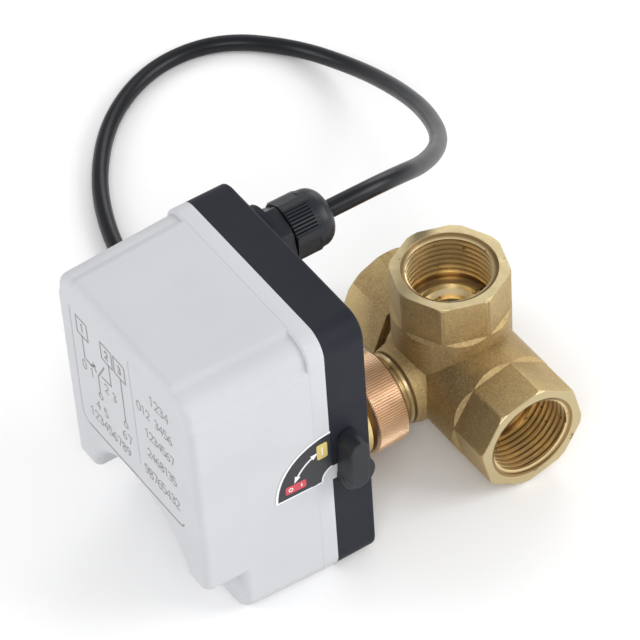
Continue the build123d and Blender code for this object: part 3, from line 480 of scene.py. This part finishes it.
# Strokes of each figure, in a box 1 wide and 1.8 high
DIGITS = {
    "0": [(0, 0.4), (0, 1.4), (0.3, 1.8), (0.7, 1.8), (1, 1.4), (1, 0.4), (0.7, 0), (0.3, 0), (0, 0.35)],
    "1": [(0.1, 1.4), (0.55, 1.8), (0.55, 0)],
    "2": [(0, 1.4), (0.3, 1.8), (0.7, 1.8), (1, 1.45), (0.9, 1.0), (0, 0.02), (1, 0.02)],
    "3": [(0, 1.6), (0.4, 1.8), (0.9, 1.55), (0.8, 1.1), (0.4, 0.95), (0.9, 0.75), (0.95, 0.3),
          (0.5, 0), (0, 0.2)],
    "4": [(0.75, 0), (0.75, 1.8), (0, 0.6), (1, 0.6)],
    "5": [(0.9, 1.8), (0.1, 1.8), (0.05, 1.0), (0.6, 1.1), (1, 0.8), (0.95, 0.3), (0.5, 0), (0, 0.15)],
    "6": [(0.85, 1.75), (0.35, 1.5), (0, 0.9), (0.05, 0.3), (0.4, 0), (0.8, 0.1), (1, 0.5),
          (0.7, 0.95), (0.1, 0.8)],
    "7": [(0, 1.8), (1, 1.8), (0.4, 0)],
    "8": [(0.5, 0.95), (0.05, 1.3), (0.25, 1.75), (0.75, 1.75), (0.95, 1.3), (0.5, 0.95), (0, 0.5),
          (0.25, 0), (0.75, 0), (1, 0.5), (0.55, 0.92)],
    "9": [(0.15, 0.05), (0.65, 0.3), (1, 0.9), (0.95, 1.5), (0.6, 1.8), (0.2, 1.7), (0, 1.3),
          (0.3, 0.85), (0.9, 1.0)],
}


def number(text, u, v, size, pitch, width):
    """Plain figures read from the front: u falls towards the reader's right."""
    out = []
    for i, figure in enumerate(text):
        if figure in DIGITS:        # a blank has no strokes
            start = u - i * pitch
            out.append(([(start - x * size, v + y * size) for x, y in DIGITS[figure]], width, False))
    return out


DIAGRAM_LINE = 0.7                            # mm, as are the widths below
CONTACT_LINE = 0.6
MARK_LINE = 0.8
FIGURE_LINE = 0.5


def front_print():
    """Panel line, a plain switch diagram and plain figures; no words."""
    panel = [(32.7, 100.0), (33.2, 50.4)] + arc(28.4, 50.2, 4.8, -6, -80, 6)[1:]
    panel += [(0.0, 46.3), (-28.5, 47.2), (-30.5, 47.5), (-32.0, 49.2)]
    strokes("panel_line", [(panel[:8], 0.7, False)], on_front, FAINT)
    strokes("panel_foot", [(panel[7:], 0.75, False)], on_front, GROOVE)
    strokes("panel_divider", [([(-5.2, 105.0), (-5.6, 56.0)], 0.45, False)], on_front, FAINT)
    lines = []
    for u, mark in ((25.4, "1"), (9.8, "2"), (1.6, "3")):
        lines.append((rounded(u, 94.9, 6.9, 7.9, 0.4), DIAGRAM_LINE, True))
        lines += number(mark, u + 1.0, 93.2, 1.9, 3.0, MARK_LINE)
    lines += [([(26.0, 90.9), (26.0, 80.3), (20.6, 80.3)], DIAGRAM_LINE, False),
              ([(22.3, 80.0), (18.8, 82.4)], DIAGRAM_LINE, False),
              ([(18.8, 79.2), (20.4, 82.8)], DIAGRAM_LINE, False),
              ([(9.0, 90.9), (9.0, 80.9), (15.2, 80.3)], DIAGRAM_LINE, False),
              ([(12.4, 87.0), (17.6, 78.6), (17.8, 70.2)], DIAGRAM_LINE, False),
              (arc(17.7, 68.6, 1.25, 0, 345, 14), CONTACT_LINE, True),
              ([(1.5, 90.9), (1.5, 70.2)], DIAGRAM_LINE, False),
              (arc(1.6, 68.6, 1.25, 0, 345, 14), CONTACT_LINE, True)]
    for text, u, v, size, pitch in (("0 1", 28.0, 74.5, 2.2, 2.5), ("2 3", 13.8, 74.5, 2.2, 2.5),
                                    ("4 5", 21.5, 60.2, 2.2, 2.5), ("67", 4.6, 60.2, 2.3, 3.3),
                                    ("123456789", 26.8, 52.8, 2.3, 2.95),
                                    ("1234", -17.4, 95.3, 2.4, 3.1), ("012 3456", -8.4, 85.8, 2.2, 2.75),
                                    ("1234567", -12.0, 75.7, 2.2, 2.6), ("2468135", -12.0, 65.8, 2.2, 2.6),
                                    ("98765432", -8.4, 54.6, 2.5, 2.75)):
        lines += number(text, u, v, size, pitch, FIGURE_LINE)
    strokes("front_figures", lines, on_front, INK)


LEGEND_LIFT = 0.00012                         # m, the legend's print stands off the cover
LEGEND_CENTRE = (0.0, 49.1)                   # mm, about which the legend's arcs turn
LEGEND_RADIUS = 21.8
ARROW_RADIUS = 15.8
RED_CENTRE = (-14.3, 53.0)


def on_legend(u, v, lift):
    return on_side(u, v, lift + LEGEND_LIFT)


def on_fields(u, v, lift):
    """On top of the legend's colour fields."""
    return on_side(u, v, lift + LEGEND_LIFT + INK_THICK)


def arrow_tip(name, degrees, way):
    """Head of the legend's double arrow: way is 1 anticlockwise, -1 clockwise."""
    angle = math.radians(degrees)
    cu, cv = LEGEND_CENTRE
    tip = Vector((cu + ARROW_RADIUS * math.cos(angle), cv + ARROW_RADIUS * math.sin(angle)))
    ahead = Vector((-math.sin(angle), math.cos(angle))) * way
    out = Vector((math.cos(angle), math.sin(angle)))
    film(name, [tuple(tip + ahead * 2.2), tuple(tip - ahead * 0.7 + out * 1.2),
                tuple(tip - ahead * 0.7 - out * 1.2)], on_legend, WHITE)


def legend_print():
    """Pale rim, two colour fields with plain marks, and a double arrow."""
    cu, cv = LEGEND_CENTRE
    red_u, red_v = RED_CENTRE
    bite = arc(1.0, 49.5, 5.0, 185, 100, 10)
    rim = arc(cu, cv, LEGEND_RADIUS + 0.1, 89.5, 180, 24)
    foot = [(-LEGEND_RADIUS - 0.3, cv - 0.1), (-4.0, cv - 0.1)]
    strokes("legend_rim", [(rim, 0.9, False), (foot, 0.55, False), (bite, 0.7, False)],
            on_legend, WHITE)
    film("legend_yellow", rounded(-3.4, 64.0, 4.2, 7.0, 0.8), on_legend, YELLOW)
    film("legend_red", rounded(red_u, red_v, 8.0, 3.6, 0.8), on_legend, RED)
    strokes("legend_figures", [([(red_u + 2.2, 52.3), (red_u + 2.2, 53.7)], 0.4, False),
                               (arc(red_u - 2.0, red_v, 0.75, 0, 340, 12), 0.35, True),
                               ([(-3.4, 62.2), (-3.4, 65.8)], 0.4, False)],
            on_fields, WHITE)
    strokes("legend_arc", [(arc(cu, cv, ARROW_RADIUS, 118, 148, 10), 0.7, False)],
            on_legend, WHITE)
    arrow_tip("legend_tip_a", 116, -1)
    arrow_tip("legend_tip_b", 150, 1)


# ---------------------------------------------------------------- floor and light
FLOOR_REACH = 3.0                             # m, each way from the middle
WORLD_LIGHT = 0.56                            # on the object; the background itself is 1, white
LAMPS = (                                     # name, place, target, width (m), power (W)
    ("key", (-0.75, -1.15, 1.15), (0, 0, 0.05), 0.9, 12),
    ("fill", (1.0, -0.8, 0.75), (0, 0, 0.05), 0.9, 12),
    ("back", (1.0, 0.9, 0.75), (0, 0, 0.05), 0.8, 5),
    ("left", (-1.15, 0.8, 0.7), (0.03, 0, 0.03), 0.9, 8),
)


def studio_floor():
    mesh = bpy.data.meshes.new("floor")
    r = FLOOR_REACH
    mesh.from_pydata([(-r, -r, 0), (r, -r, 0), (r, r, 0), (-r, r, 0)], [], [(0, 1, 2, 3)])
    floor = bpy.data.objects.new("floor", mesh)
    bpy.context.scene.collection.objects.link(floor)
    look = Look("floor", (0.93, 0.93, 0.93), 0.9, spec=0.1)
    look.bump(look.noise(0.01, 2), 0.00005)
    mesh.materials.append(look.done())


def studio_sky():
    """White behind the object, and dimmer on it."""
    world = bpy.data.worlds.new("world")
    bpy.context.scene.world = world
    world.use_nodes = True
    nodes, links = world.node_tree.nodes, world.node_tree.links
    nodes.clear()
    out = nodes.new("ShaderNodeOutputWorld")
    light = nodes.new("ShaderNodeBackground")
    light.inputs["Color"].default_value = (1, 1, 1, 1)
    path = nodes.new("ShaderNodeLightPath")
    seen = nodes.new("ShaderNodeMath")
    seen.operation = "MAXIMUM"
    links.new(path.outputs["Is Camera Ray"], seen.inputs[0])
    links.new(path.outputs["Is Transmission Ray"], seen.inputs[1])
    strength = nodes.new("ShaderNodeMapRange")
    strength.inputs[3].default_value = WORLD_LIGHT
    strength.inputs[4].default_value = 1.0
    links.new(seen.outputs[0], strength.inputs[0])
    links.new(strength.outputs[0], light.inputs["Strength"])
    links.new(light.outputs[0], out.inputs[0])


def studio_lamps():
    for name, place, target, width, power in LAMPS:
        data = bpy.data.lights.new(name, "AREA")
        data.size = width
        data.energy = power
        lamp = bpy.data.objects.new(name, data)
        lamp.location = place
        lamp.rotation_euler = (Vector(target) - Vector(place)).to_track_quat("-Z", "Y").to_euler()
        bpy.context.scene.collection.objects.link(lamp)


# ---------------------------------------------------------------- making
cord_piece = cord()
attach(cord_piece, "housing")
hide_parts("cord")
finish_cad_nodes()
cord_piece.data.materials.append(LOOKS["cord_black"])
front_print()
legend_print()
studio_floor()
studio_sky()
studio_lamps()

view_settings = bpy.context.scene.view_settings
view_settings.view_transform = "Standard"
